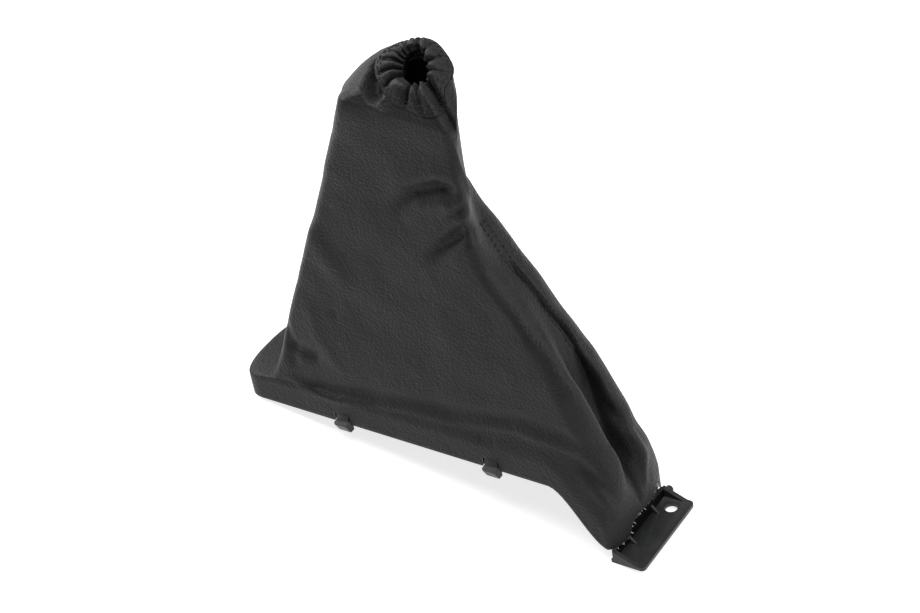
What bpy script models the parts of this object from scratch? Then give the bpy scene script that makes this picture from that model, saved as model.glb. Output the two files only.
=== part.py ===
"""Handbrake gaiter: a leatherette sleeve on a moulded frame, with an elastic ring in its gathered collar.

The part is drawn in the frame's own axes: X runs from the rounded rear end to the screw tab,
Y across, Z up from the lower edge of the sleeve. An empty then tips everything onto the floor,
where the part stands on its rear edge and on the heel of the tab, as it does when it is laid down.
"""
import math

import bmesh
import bpy
import numpy as np
from mathutils import Matrix, Vector

# Moulded frame
RIM_LENGTH = 0.2275
RIM_WIDTH = 0.054
REAR_CORNER_LENGTH = 0.015
FRONT_CORNER_LENGTH = 0.006
WALL_HEIGHT = 0.0115
WALL_THICKNESS = 0.0022
REAR_DECK_DEPTH = 0.011
REAR_DECK_THICKNESS = 0.0022
EDGE_DROP_FROM_FRONT = 0.0035
EDGE_DROP_LENGTH = 0.032
EDGE_DROP = 0.032
FRAME_SHOWING = 0.0012

# Screw tab
TAB_DROP = 0.0395
TAB_LENGTH = 0.0165
TAB_THICKNESS = 0.0020
TAB_CORNER_RADIUS = 0.0024
SCREW_HOLE_DIAMETER = 0.0066
SCREW_HOLE_FROM_FRONT = 0.0090
SCREW_HOLE_FROM_SIDE = 0.0088
CHEEK_THICKNESS = 0.0018
CHEEK_LENGTH = 0.0120
RISER_THICKNESS = 0.0020
RIB_OFFSET = 0.0120
RIB_THICKNESS = 0.0014
RIB_LENGTH = 0.0050
LUG_DIAMETER = 0.0042
LUG_PROJECTION = 0.0020

# Snap hooks
HOOK_PLACES = (0.0665, 0.1590)
HOOK_WIDTH = 0.0076
HOOK_DEPTH = 0.0060
HOOK_CATCH = 0.0026
HOOK_CATCH_HEIGHT = 0.0014
HOOK_NOSE_THICKNESS = 0.0018
HOOK_LEG_PROUD = 0.0006
NOTCH_CLEARANCE = 0.0012
NOTCH_HEIGHT = 0.0056

# Sleeve
SKIN_THICKNESS = 0.0012
SKIN_GAP = 0.0003
RIDGE_HEIGHT = 0.0155
RIDGE_RISE = 0.0090
NOSE_BULGE = 0.0025
NOSE_LENGTH = 0.0140
NOSE_DROP = 0.0230
SLOPE_FOOT = 0.0230
REAR_FOLD_LENGTH = 0.009
REAR_ROLL = 0.0022
SHOULDER_REAR = 0.0885
SHOULDER_FRONT = 0.155
SHOULDER_HEIGHT = 0.189
SHOULDER_WIDTH = 0.034
CREASE_RISE = 0.0095
CREASE_FALL = 0.0085
CROWN_RISE = 0.033
FRONT_VALLEY_DEPTH = 0.014

# Folds pressed into the sleeve: side (-1 near, 1 far, 0 both), points (x, z), depth and width
FOLDS = (
    (-1, ((0.1225, 0.143), (0.1335, 0.157), (0.151, 0.1635), (0.166, 0.1665)), 0.0048, 0.0070),
    (-1, ((0.131, 0.113), (0.1465, 0.1265), (0.161, 0.139), (0.168, 0.145)), 0.0046, 0.0070),
    (-1, ((0.2055, 0.016), (0.2165, 0.0045), (0.2255, -0.009)), 0.0032, 0.0055),
    (0, ((0.020, 0.018), (0.030, 0.022), (0.043, 0.0185)), 0.0040, 0.0065),
    (1, ((0.127, 0.134), (0.142, 0.1385), (0.156, 0.137)), 0.0040, 0.0070),
)

# Gathered collar
COLLAR_FROM_SHOULDER_REAR = 0.0455
COLLAR_ASIDE = 0.001
COLLAR_ABOVE_SHOULDER = 0.0220
COLLAR_LEAN_SIDE = 33.0
COLLAR_LEAN_FRONT = 6.0
COLLAR_DIAMETER = 0.033
COLLAR_RISE = 0.0060
MOUTH_DIAMETER = 0.0150
HEM_DEPTH = 0.0080
PLEATS = 12
PLEAT_DEPTH = 0.0026
ELASTIC_DIAMETER = 0.0018

# Mesh density of the sleeve: points on a rounded end's quarter, on a side, and rows up the sleeve
END_POINTS = 10
SIDE_POINTS = 22
SLEEVE_ROWS = 30

HALF_WIDTH = RIM_WIDTH / 2
SKIN_INSET = SKIN_THICKNESS + SKIN_GAP
TAB_FRONT = RIM_LENGTH - SKIN_INSET + TAB_LENGTH
TAB_REAR = RIM_LENGTH - SKIN_INSET
COLLAR_PLACE = (SHOULDER_REAR + COLLAR_FROM_SHOULDER_REAR, COLLAR_ASIDE, SHOULDER_HEIGHT + COLLAR_ABOVE_SHOULDER)


def clearScene():
    for thing in list(bpy.data.objects):
        bpy.data.objects.remove(thing, do_unlink=True)


def makeMaterial(name, colour, roughness, metallic=0.0):
    material = bpy.data.materials.new(name)
    material.use_nodes = True
    shader = material.node_tree.nodes["Principled BSDF"]
    shader.inputs["Base Color"].default_value = (*colour, 1.0)
    shader.inputs["Roughness"].default_value = roughness
    shader.inputs["Metallic"].default_value = metallic
    material.diffuse_color = (*colour, 1.0)
    return material


def makeObject(name, mesh, material=None, parent=None):
    thing = bpy.data.objects.new(name, mesh)
    bpy.context.collection.objects.link(thing)
    if material is not None:
        mesh.materials.append(material)
    thing.parent = parent
    return thing


def meshFromBmesh(name, shape):
    bmesh.ops.recalc_face_normals(shape, faces=shape.faces[:])
    mesh = bpy.data.meshes.new(name)
    shape.to_mesh(mesh)
    shape.free()
    return mesh


def lowerEdge(x):
    """Height of the lower edge: level along the rim, then swept down to the tab."""
    start = RIM_LENGTH - EDGE_DROP_FROM_FRONT - EDGE_DROP_LENGTH
    t = np.clip((np.asarray(x, float) - start) / EDGE_DROP_LENGTH, 0.0, 1.0)
    return -EDGE_DROP * t * t * (3.0 - 2.0 * t)


def planOutline(rear, front, half, rearEnd, frontEnd, rearPower=2.0, frontPower=2.0, frontHalf=None):
    """Closed plan outline: two superelliptic ends joined by straight sides, rear first, then the -Y side."""
    frontHalf = half if frontHalf is None else frontHalf
    quarter = []
    for i in range(END_POINTS):
        a = 0.5 * math.pi * i / END_POINTS
        x = rear + rearEnd * (1.0 - math.cos(a) ** (2.0 / rearPower))
        quarter.append((x, -half * math.sin(a) ** (2.0 / rearPower)))
    for i in range(SIDE_POINTS):
        t = i / SIDE_POINTS
        x = rear + rearEnd + (front - frontEnd - rear - rearEnd) * t
        quarter.append((x, -half + (half - frontHalf) * t))
    for i in range(END_POINTS + 1):
        a = 0.5 * math.pi * i / END_POINTS
        x = front - frontEnd * (1.0 - math.sin(a) ** (2.0 / frontPower))
        quarter.append((x, -frontHalf * math.cos(a) ** (2.0 / frontPower)))
    other = [(x, -y) for x, y in reversed(quarter[1:-1])]
    return np.array(quarter + other)


def rimOutline(inset):
    """Plan outline of the sleeve's lower edge, moved inwards everywhere by the same distance."""
    outline = planOutline(0.0, RIM_LENGTH, HALF_WIDTH, REAR_CORNER_LENGTH, FRONT_CORNER_LENGTH, 3.0, 2.6)
    along = np.roll(outline, -1, axis=0) - np.roll(outline, 1, axis=0)
    inwards = np.column_stack((-along[:, 1], along[:, 0]))
    return outline + inset * inwards / np.linalg.norm(inwards, axis=1, keepdims=True)


def boxShape(low, high):
    shape = bmesh.new()
    bmesh.ops.create_cube(shape, size=1.0)
    for vertex in shape.verts:
        vertex.co = Vector((low[i] + (vertex.co[i] + 0.5) * (high[i] - low[i]) for i in range(3)))
    return shape


def prismShape(points, low, high, axis):
    """A flat polygon extruded along an axis: 'y' takes (x, z) points, 'x' takes (y, z) points."""
    shape = bmesh.new()
    for level in (low, high):
        for a, b in points:
            shape.verts.new((a, level, b) if axis == "y" else (level, a, b))
    shape.verts.ensure_lookup_table()
    count = len(points)
    shape.faces.new([shape.verts[i] for i in range(count)])
    shape.faces.new([shape.verts[count + i] for i in reversed(range(count))])
    for i in range(count):
        j = (i + 1) % count
        shape.faces.new([shape.verts[k] for k in (i, count + i, count + j, j)])
    return shape


def wallRibbon():
    """The frame's perimeter wall, whose lower edge sweeps down to the tab."""
    outer = rimOutline(SKIN_INSET)
    inner = rimOutline(SKIN_INSET + WALL_THICKNESS)
    shape = bmesh.new()
    loops = []
    showing = FRAME_SHOWING * lowerEdge(outer[:, 0]) / EDGE_DROP
    for outline, rise in ((outer, showing), (outer, WALL_HEIGHT), (inner, WALL_HEIGHT), (inner, showing)):
        heights = lowerEdge(outer[:, 0]) + rise
        loops.append([shape.verts.new((x, y, z)) for (x, y), z in zip(outline, heights)])
    count = len(outer)
    for a in range(4):
        first, second = loops[a], loops[(a + 1) % 4]
        for i in range(count):
            j = (i + 1) % count
            shape.faces.new((first[i], first[j], second[j], second[i]))
    return shape


def rearDeck():
    """Flat shelf across the rear end, level with the wall's top."""
    outline = rimOutline(SKIN_INSET + WALL_THICKNESS * 0.5)
    edge = [(x, y) for x, y in outline if x < REAR_DECK_DEPTH]
    edge.sort(key=lambda point: point[1])
    last = HALF_WIDTH - SKIN_INSET - WALL_THICKNESS * 0.5
    edge = [(REAR_DECK_DEPTH, edge[0][1])] + edge + [(REAR_DECK_DEPTH, edge[-1][1])]
    edge = [(x, max(-last, min(last, y))) for x, y in edge]
    shape = bmesh.new()
    for z in (WALL_HEIGHT - REAR_DECK_THICKNESS, WALL_HEIGHT):
        for x, y in edge:
            shape.verts.new((x, y, z))
    shape.verts.ensure_lookup_table()
    count = len(edge)
    shape.faces.new([shape.verts[i] for i in range(count)])
    shape.faces.new([shape.verts[count + i] for i in reversed(range(count))])
    for i in range(count):
        j = (i + 1) % count
        shape.faces.new([shape.verts[k] for k in (i, count + i, count + j, j)])
    return shape


def tabPlate():
    low = (TAB_REAR - RISER_THICKNESS, -HALF_WIDTH, -TAB_DROP)
    shape = boxShape(low, (TAB_FRONT, HALF_WIDTH, -TAB_DROP + TAB_THICKNESS))
    corners = [edge for edge in shape.edges
               if all(v.co.x > TAB_REAR for v in edge.verts)
               and abs(edge.verts[0].co.y - edge.verts[1].co.y) < 1e-6]
    bmesh.ops.bevel(shape, geom=corners, offset=TAB_CORNER_RADIUS, segments=5, affect="EDGES", profile=0.5)
    return shape


def tabRiser():
    """Upright between the tab plate and the lower edge of the front wall."""
    half = HALF_WIDTH - SKIN_INSET
    top = -EDGE_DROP - SKIN_GAP
    low = (TAB_REAR - RISER_THICKNESS, -half, -TAB_DROP)
    return boxShape(low, (TAB_REAR, half, top))


def tabCheek(side):
    """Low tapered side wall of the tab."""
    floor = -TAB_DROP
    top = -EDGE_DROP - SKIN_GAP
    toe = TAB_REAR + CHEEK_LENGTH
    start = TAB_REAR - RISER_THICKNESS * 0.5
    points = ((start, floor), (toe, floor), (toe, floor + TAB_THICKNESS), (start, top))
    inner = HALF_WIDTH - SKIN_INSET - CHEEK_THICKNESS * 0.5
    outer = HALF_WIDTH
    return prismShape(points, min(side * inner, side * outer), max(side * inner, side * outer), "y")


def tabRib(side):
    """Gusset between the riser and the tab plate."""
    floor = -TAB_DROP + TAB_THICKNESS * 0.5
    start = TAB_REAR - RISER_THICKNESS * 0.5
    points = ((start, floor), (TAB_REAR + RIB_LENGTH, floor), (start, -EDGE_DROP - SKIN_GAP))
    centre = side * RIB_OFFSET
    return prismShape(points, centre - RIB_THICKNESS / 2, centre + RIB_THICKNESS / 2, "y")


def roundPeg(radius, centre, length, axis):
    shape = bmesh.new()
    bmesh.ops.create_cone(shape, cap_ends=True, segments=28, radius1=radius, radius2=radius, depth=length)
    if axis == "y":
        bmesh.ops.rotate(shape, verts=shape.verts, matrix=Matrix.Rotation(math.pi / 2, 3, "X"))
    bmesh.ops.translate(shape, verts=shape.verts, vec=Vector(centre))
    return shape


def tabLug():
    """Round nub on the outer face of the far cheek."""
    radius = LUG_DIAMETER / 2
    height = -TAB_DROP + TAB_THICKNESS + radius
    root = HALF_WIDTH - CHEEK_THICKNESS * 0.5
    tip = HALF_WIDTH + LUG_PROJECTION
    return roundPeg(radius, (TAB_REAR + radius * 0.6, (root + tip) / 2, height), tip - root, "y")


def snapHook(place, side):
    """Snap hook hanging from the wall: a leg, a catch that points outwards and a nose that tapers down."""
    face = HALF_WIDTH - SKIN_INSET
    root = face - WALL_THICKNESS
    proud = HALF_WIDTH + HOOK_LEG_PROUD
    tip = HALF_WIDTH + HOOK_CATCH
    inside = face - HOOK_NOSE_THICKNESS
    profile = ((root + 0.0003, NOTCH_HEIGHT - 0.0008), (face + 0.0006, NOTCH_HEIGHT - 0.0008),
               (proud - 0.0006, HOOK_CATCH_HEIGHT), (tip, HOOK_CATCH_HEIGHT - 0.0004),
               (tip, HOOK_CATCH_HEIGHT - 0.0020), (face + 0.0012, -HOOK_DEPTH),
               (inside, -HOOK_DEPTH), (root + 0.0003, -0.0010))
    points = [(side * y, z) for y, z in profile]
    return prismShape(points, place - HOOK_WIDTH / 2, place + HOOK_WIDTH / 2, "x")


def addHelper(owner, name, shape, operation):
    """Keeps a helper solid out of the model and joins it to, or cuts it from, its owner."""
    helper = makeObject(name, meshFromBmesh(name, shape), parent=owner.parent)
    helper.hide_render = True
    helper.display_type = "WIRE"
    modifier = owner.modifiers.new(name, "BOOLEAN")
    modifier.operation = operation
    modifier.object = helper
    modifier.solver = "EXACT"
    return helper


def buildFrame(parent, material):
    frame = makeObject("frame", meshFromBmesh("frame", wallRibbon()), material, parent)
    addHelper(frame, "add_rear_deck", rearDeck(), "UNION")
    addHelper(frame, "add_tab_plate", tabPlate(), "UNION")
    addHelper(frame, "add_tab_riser", tabRiser(), "UNION")
    for side, word in ((-1, "near"), (1, "far")):
        addHelper(frame, f"add_cheek_{word}", tabCheek(side), "UNION")
        addHelper(frame, f"add_rib_{word}", tabRib(side), "UNION")
        for number, place in enumerate(HOOK_PLACES, 1):
            addHelper(frame, f"add_hook_{word}_{number}", snapHook(place, side), "UNION")
    addHelper(frame, "add_lug", tabLug(), "UNION")
    hole = (TAB_FRONT - SCREW_HOLE_FROM_FRONT, HALF_WIDTH - SCREW_HOLE_FROM_SIDE, -TAB_DROP + TAB_THICKNESS / 2)
    addHelper(frame, "cut_screw_hole", roundPeg(SCREW_HOLE_DIAMETER / 2, hole, TAB_THICKNESS * 3, "z"),
              "DIFFERENCE")
    return frame


def between(low, high, share):
    return low + (high - low) * share


def smooth(share):
    t = np.clip(share, 0.0, 1.0)
    return t * t * (3.0 - 2.0 * t)


def roofHeight(share, across):
    """Height of the shoulder: a near crease and a higher far crown, which meet at the rear."""
    near = CREASE_RISE * smooth(share / 0.3) - CREASE_FALL * smooth((share - 0.4) / 0.6)
    far = CROWN_RISE * np.sin(math.pi * np.clip(share, 0.0, 1.0) ** 1.12 * 0.78)
    return SHOULDER_HEIGHT + between(near, far, 0.5 + 0.5 * across)


def pressValley(ring, front, half, depth):
    """Pulls the middle of a ring's front back, where the two side panels are sewn together."""
    nose = smooth((ring[:, 0] - front + 0.030) / 0.024)
    ring[:, 0] -= depth * nose * np.exp(-(ring[:, 1] / (half * 0.34)) ** 2)


def sleeveLevels():
    """Outer face of the sleeve as a stack of rings, from its lower edge to the end of its turned-in hem."""
    base = rimOutline(0.0)
    edge = lowerEdge(base[:, 0])
    along = base[:, 0] / RIM_LENGTH
    levels = [np.column_stack((base, edge + WALL_HEIGHT * share)) for share in (0.0, 0.5, 1.13)]
    # the soft ridge where the sleeve rolls inwards, higher towards the front and low again at the nose
    nose = RIM_LENGTH + NOSE_BULGE
    ridge = planOutline(REAR_ROLL, nose, HALF_WIDTH - 0.0006, REAR_CORNER_LENGTH + REAR_ROLL * 2,
                        NOSE_LENGTH, 2.2, 2.3, HALF_WIDTH - 0.0030)
    front = np.clip((along - 0.86) / 0.14, 0.0, 1.0)
    lift = RIDGE_HEIGHT + RIDGE_RISE * along ** 1.5 - NOSE_DROP * front * front
    pressValley(ridge, nose, HALF_WIDTH, FRONT_VALLEY_DEPTH * 0.55)
    levels.append(np.column_stack((ridge, lift)))
    # share of the way up at the rear and at the front, rear and front places, width, front valley and skew
    rows = (
        (0.085, 0.150, -0.090, 0.853, 0.87, 1.00, 0.0020),
        (0.140, 0.240, 0.000, 0.760, 0.78, 0.95, 0.0025),
        (0.250, 0.330, 0.123, 0.647, 0.66, 0.60, 0.0030),
        (0.420, 0.480, 0.345, 0.415, 0.48, 0.20, 0.0040),
        (0.600, 0.620, 0.555, 0.140, 0.34, 0.08, 0.0060),
        (0.780, 0.750, 0.765, -0.007, 0.16, 0.00, 0.0125),
        (0.920, 0.890, 0.925, -0.013, 0.05, 0.00, 0.0125),
        (0.985, 0.975, 0.995, -0.010, 0.01, 0.00, 0.0110),
        (1.000, 1.000, 1.000, 0.000, 0.00, 0.00, 0.0100),
    )
    for riseRear, riseFront, placeRear, placeFront, wide, valley, skew in rows:
        rear = between(SLOPE_FOOT, SHOULDER_REAR, placeRear)
        ahead = between(SHOULDER_FRONT, nose, placeFront)
        half = between(SHOULDER_WIDTH / 2, HALF_WIDTH, wide)
        ring = planOutline(rear, ahead, half, REAR_FOLD_LENGTH, half * 0.5, 2.2, 2.6, half * 0.90)
        share = (ring[:, 0] - rear) / (ahead - rear)
        across = ring[:, 1] / half
        rise = between(riseRear, riseFront, share)
        height = SHOULDER_HEIGHT * rise + (roofHeight(share, across) - SHOULDER_HEIGHT) * rise ** 4
        ring[:, 0] -= skew * across * share ** 2
        pressValley(ring, ahead, half, FRONT_VALLEY_DEPTH * valley)
        levels.append(np.column_stack((ring, height)))
    return levels + collarLevels(len(base))


def collarAxes():
    lean = Matrix.Rotation(math.radians(COLLAR_LEAN_FRONT), 3, "Y")
    lean = Matrix.Rotation(math.radians(COLLAR_LEAN_SIDE), 3, "X") @ lean
    return np.array(lean @ Vector((1, 0, 0))), np.array(lean @ Vector((0, 1, 0))), np.array(lean @ Vector((0, 0, 1)))


def collarLevels(count):
    """Stitched ring, pleated dome, mouth, and the hem turned down inside it."""
    ahead, across, up = collarAxes()
    angle = math.pi - np.arange(count) * 2.0 * math.pi / count
    ringRadius = COLLAR_DIAMETER / 2
    mouth = MOUTH_DIAMETER / 2
    wave = np.cos(PLEATS * angle)
    levels = []
    steps = ((ringRadius, 0.0, 0.0), (between(mouth, ringRadius, 0.62), COLLAR_RISE * 0.72, 0.7),
             (between(mouth, ringRadius, 0.22), COLLAR_RISE, 1.0), (mouth, COLLAR_RISE * 0.75, 0.8),
             (mouth * 0.92, COLLAR_RISE * 0.1, 0.3), (mouth, -HEM_DEPTH * 0.5, 0.0),
             (mouth * 1.15, -HEM_DEPTH, 0.0))
    for radius, rise, pleat in steps:
        r = radius + 0.35 * PLEAT_DEPTH * pleat * wave
        h = rise + 0.5 * PLEAT_DEPTH * pleat * wave
        ring = np.outer(r * np.cos(angle), ahead) - np.outer(r * np.sin(angle), across) + np.outer(h, up)
        levels.append(ring + np.array(COLLAR_PLACE))
    return levels


def sweepLevels(levels, rows):
    """Smooth rows through the rings, spaced by the length of skin between them."""
    stack = np.array(levels)
    steps = np.linalg.norm(np.diff(stack, axis=0), axis=2).mean(axis=1)
    knots = np.concatenate(([0.0], np.cumsum(np.sqrt(steps))))
    secants = np.diff(stack, axis=0) / np.diff(knots)[:, None, None]
    before, after = secants[:-1], secants[1:]
    total = np.where(np.abs(before + after) > 1e-12, before + after, 1.0)
    middle = np.where(before * after > 0.0, 2.0 * before * after / total, 0.0)
    slopes = np.concatenate((secants[:1], middle, secants[-1:]))
    result = []
    for s in np.linspace(0.0, knots[-1], rows):
        k = min(int(np.searchsorted(knots, s, side="right")) - 1, len(knots) - 2)
        h = knots[k + 1] - knots[k]
        t = (s - knots[k]) / h
        a = 2 * t ** 3 - 3 * t ** 2 + 1
        b = t ** 3 - 2 * t ** 2 + t
        c = 3 * t ** 2 - 2 * t ** 3
        d = t ** 3 - t ** 2
        result.append(a * stack[k] + b * h * slopes[k] + c * stack[k + 1] + d * h * slopes[k + 1])
    return np.array(result)


def gridNormals(grid):
    around = np.roll(grid, -1, axis=1) - np.roll(grid, 1, axis=1)
    upward = np.gradient(grid, axis=0)
    normals = np.cross(around, upward)
    return normals / np.linalg.norm(normals, axis=2, keepdims=True)


def distanceToLine(x, z, line):
    """Distance in side view from points to a broken line, and how far inside its ends they lie (0 to 1)."""
    best = np.full(x.shape, 1.0)
    fade = np.zeros(x.shape)
    lengths = [math.dist(a, b) for a, b in zip(line, line[1:])]
    walked = 0.0
    for (ax, az), (bx, bz), length in zip(line, line[1:], lengths):
        t = np.clip(((x - ax) * (bx - ax) + (z - az) * (bz - az)) / length ** 2, 0.0, 1.0)
        gap = np.hypot(x - ax - t * (bx - ax), z - az - t * (bz - az))
        place = (walked + t * length) / sum(lengths)
        nearer = gap < best
        best = np.where(nearer, gap, best)
        fade = np.where(nearer, smooth(place / 0.25) * (1.0 - 0.6 * smooth((place - 0.8) / 0.2)), fade)
        walked += length
    return best, fade


def pressFolds(grid):
    """Presses the named folds into the sides of the sleeve and raises a little roll beside each."""
    normals = gridNormals(grid)
    depth = np.zeros(grid.shape[:2])
    for side, line, deep, wide in FOLDS:
        gap, fade = distanceToLine(grid[..., 0], grid[..., 2], line)
        ratio = (gap / wide) ** 2
        facing = np.abs(normals[..., 1]) if side == 0 else np.clip(side * normals[..., 1], 0.0, 1.0)
        depth += deep * fade * facing * (np.exp(-ratio) - 0.35 * np.exp(-ratio / 6.0))
    return grid - normals * depth[..., None]


def buildSleeve(parent, material):
    outer = pressFolds(sweepLevels(sleeveLevels(), SLEEVE_ROWS))
    inner = outer - gridNormals(outer) * SKIN_THICKNESS
    rows, count = outer.shape[:2]
    shape = bmesh.new()
    skins = [[[shape.verts.new(p) for p in row] for row in skin] for skin in (outer, inner)]
    for r in range(rows - 1):
        for i in range(count):
            j = (i + 1) % count
            shape.faces.new((skins[0][r][i], skins[0][r][j], skins[0][r + 1][j], skins[0][r + 1][i]))
            shape.faces.new((skins[1][r][i], skins[1][r + 1][i], skins[1][r + 1][j], skins[1][r][j]))
    for r in (0, rows - 1):
        for i in range(count):
            j = (i + 1) % count
            shape.faces.new((skins[0][r][i], skins[1][r][i], skins[1][r][j], skins[0][r][j]))
    sleeve = makeObject("sleeve", meshFromBmesh("sleeve", shape), material, parent)
    for side, word in ((-1, "near"), (1, "far")):
        for number, place in enumerate(HOOK_PLACES, 1):
            half = HOOK_WIDTH / 2 + NOTCH_CLEARANCE
            reach = sorted((side * (HALF_WIDTH - SKIN_INSET * 2), side * (HALF_WIDTH + SKIN_INSET)))
            notch = boxShape((place - half, reach[0], -SKIN_INSET), (place + half, reach[1], NOTCH_HEIGHT))
            addHelper(sleeve, f"cut_notch_{word}_{number}", notch, "DIFFERENCE")
    return sleeve


def buildElastic(parent, material):
    """Elastic ring lying against the turned-in hem, which draws the mouth together."""
    ahead, across, up = collarAxes()
    thick = ELASTIC_DIAMETER / 2
    ring = MOUTH_DIAMETER / 2 + SKIN_THICKNESS + SKIN_GAP + thick
    centre = np.array(COLLAR_PLACE) - up * HEM_DEPTH * 0.4
    shape = bmesh.new()
    turns, sides = 36, 8
    loops = []
    for i in range(turns):
        a = 2 * math.pi * i / turns
        out = ahead * math.cos(a) + across * math.sin(a)
        loop = []
        for j in range(sides):
            b = 2 * math.pi * j / sides
            loop.append(shape.verts.new(centre + out * (ring + thick * math.cos(b)) + up * thick * math.sin(b)))
        loops.append(loop)
    for i in range(turns):
        for j in range(sides):
            k, m = (i + 1) % turns, (j + 1) % sides
            shape.faces.new((loops[i][j], loops[i][m], loops[k][m], loops[k][j]))
    return makeObject("elastic_ring", meshFromBmesh("elastic_ring", shape), material, parent)


def standOnFloor(root, pieces):
    """Tips the part about Y onto its rear edge and the tab's heel, then centres its box over the origin."""
    heel = TAB_REAR - RISER_THICKNESS
    pitch = math.atan2(TAB_DROP, heel)
    root.rotation_euler = (0.0, -pitch, 0.0)
    bpy.context.view_layer.update()
    graph = bpy.context.evaluated_depsgraph_get()
    points = []
    for piece in pieces:
        seen = piece.evaluated_get(graph)
        points += [seen.matrix_world @ vertex.co for vertex in seen.data.vertices]
    low = [min(p[i] for p in points) for i in range(3)]
    high = [max(p[i] for p in points) for i in range(3)]
    root.location = (-(low[0] + high[0]) / 2, -(low[1] + high[1]) / 2, -low[2])


def main():
    clearScene()
    plastic = makeMaterial("black moulded plastic", (0.035, 0.036, 0.038), 0.38)
    leather = makeMaterial("black leatherette", (0.028, 0.028, 0.030), 0.55)
    elastic = makeMaterial("black elastic", (0.02, 0.02, 0.02), 0.85)
    root = bpy.data.objects.new("gaiter_axes", None)
    bpy.context.collection.objects.link(root)
    frame = buildFrame(root, plastic)
    sleeve = buildSleeve(root, leather)
    ring = buildElastic(root, elastic)
    for piece in (frame, sleeve, ring):
        piece.data.shade_smooth()
        piece.data.set_sharp_from_angle(angle=math.radians(38))
    standOnFloor(root, (frame, sleeve, ring))


main()
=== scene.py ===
import math

import bmesh
import bpy
import numpy as np
from mathutils import Matrix, Vector, noise
from numpy.linalg import norm


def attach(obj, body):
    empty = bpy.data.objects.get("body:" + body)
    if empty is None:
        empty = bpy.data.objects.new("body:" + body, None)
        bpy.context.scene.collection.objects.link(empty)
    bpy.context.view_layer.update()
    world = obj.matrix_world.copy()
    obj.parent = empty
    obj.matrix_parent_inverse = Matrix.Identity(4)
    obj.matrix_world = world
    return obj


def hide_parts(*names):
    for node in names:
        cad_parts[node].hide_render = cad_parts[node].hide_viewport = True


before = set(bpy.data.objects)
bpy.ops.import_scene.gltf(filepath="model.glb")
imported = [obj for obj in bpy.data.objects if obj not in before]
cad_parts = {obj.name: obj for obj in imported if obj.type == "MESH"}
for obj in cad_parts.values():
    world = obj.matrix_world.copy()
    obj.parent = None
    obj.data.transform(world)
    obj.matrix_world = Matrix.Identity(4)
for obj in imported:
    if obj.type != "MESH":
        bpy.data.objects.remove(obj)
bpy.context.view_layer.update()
print("frame loaded:", ", ".join(sorted(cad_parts)))

# The gaiter's own axes: X along the rim, Y across, Z up. It stands tipped, on its rear edge and the tab's heel.
rest = {
    "place": (-0.121788, 0.0, 0.0),
    "tabDrop": 0.0395,
    "heel": 0.224,
}
pitch = math.atan2(rest["tabDrop"], rest["heel"])
turnWorld = np.array(Matrix.Rotation(-pitch, 3, "Y"))
placeWorld = np.array(rest["place"])


def placed(points):
    return np.asarray(points) @ turnWorld.T + placeWorld


def between(low, high, share):
    return low + (high - low) * share


def smooth(share):
    t = np.clip(share, 0.0, 1.0)
    return t * t * (3.0 - 2.0 * t)


def bell(distance, width, power=2.0):
    return np.exp(-np.abs(distance / width) ** power)


def hermite(t, span, low, high, slopeLow, slopeHigh):
    return ((2 * t ** 3 - 3 * t ** 2 + 1) * low + (t ** 3 - 2 * t ** 2 + t) * span * slopeLow
            + (3 * t ** 2 - 2 * t ** 3) * high + (t ** 3 - t ** 2) * span * slopeHigh)


def waves(angle, rows):
    # sine waves added up: size, turns around and shift of each
    return sum(size * np.sin(turns * angle + shift) for size, turns, shift in rows)


def linkedObject(name, data):
    piece = bpy.data.objects.new(name, data)
    bpy.context.scene.collection.objects.link(piece)
    return piece


# materials

def makeNodes(name):
    material = bpy.data.materials.new(name)
    material.use_nodes = True
    tree = material.node_tree
    tree.nodes.clear()
    shader = tree.nodes.new("ShaderNodeBsdfPrincipled")
    output = tree.nodes.new("ShaderNodeOutputMaterial")
    tree.links.new(shader.outputs["BSDF"], output.inputs["Surface"])
    coordinates = tree.nodes.new("ShaderNodeTexCoord")
    return material, tree, shader, coordinates.outputs["Object"]


def joinSockets(tree, *pairs):
    for source, target in pairs:
        tree.links.new(source, target)


def setInputs(node, values):
    for name, value in values.items():
        node.inputs[name].default_value = value


def addNoise(tree, place, scale, detail, roughness=0.5, output="Fac"):
    node = tree.nodes.new("ShaderNodeTexNoise")
    setInputs(node, {"Scale": scale, "Detail": detail, "Roughness": roughness})
    tree.links.new(place, node.inputs["Vector"])
    return node.outputs[output]


def addWave(tree, place, direction, values):
    node = tree.nodes.new("ShaderNodeTexWave")
    node.bands_direction = direction
    setInputs(node, values)
    tree.links.new(place, node.inputs["Vector"])
    return node.outputs["Fac"]


def addBumps(tree, shader, *layers):
    # one bump over the other: the pattern, its strength, and its height in metres
    before = None
    for pattern, (strength, distance) in layers:
        node = tree.nodes.new("ShaderNodeBump")
        setInputs(node, {"Strength": strength, "Distance": distance})
        tree.links.new(pattern, node.inputs["Height"])
        if before is not None:
            tree.links.new(before.outputs["Normal"], node.inputs["Normal"])
        before = node
    tree.links.new(before.outputs["Normal"], shader.inputs["Normal"])


def dress(tree, shader, look, tone, wear=None):
    # colour follows one pattern, and roughness another or none
    ramp = tree.nodes.new("ShaderNodeValToRGB")
    for element, place, colour in zip(ramp.color_ramp.elements, look["stops"], look["colours"]):
        element.position = place
        element.color = (*colour, 1.0)
    joinSockets(tree, (tone, ramp.inputs["Fac"]), (ramp.outputs["Color"], shader.inputs["Base Color"]))
    if wear is None:
        shader.inputs["Roughness"].default_value = look["rough"]
    else:
        spread = tree.nodes.new("ShaderNodeMapRange")
        low, high = look["rough"]
        setInputs(spread, {"From Min": 0.3, "From Max": 0.7, "To Min": low, "To Max": high})
        joinSockets(tree, (wear, spread.inputs["Value"]), (spread.outputs["Result"], shader.inputs["Roughness"]))
    setInputs(shader, look["shader"])


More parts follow.
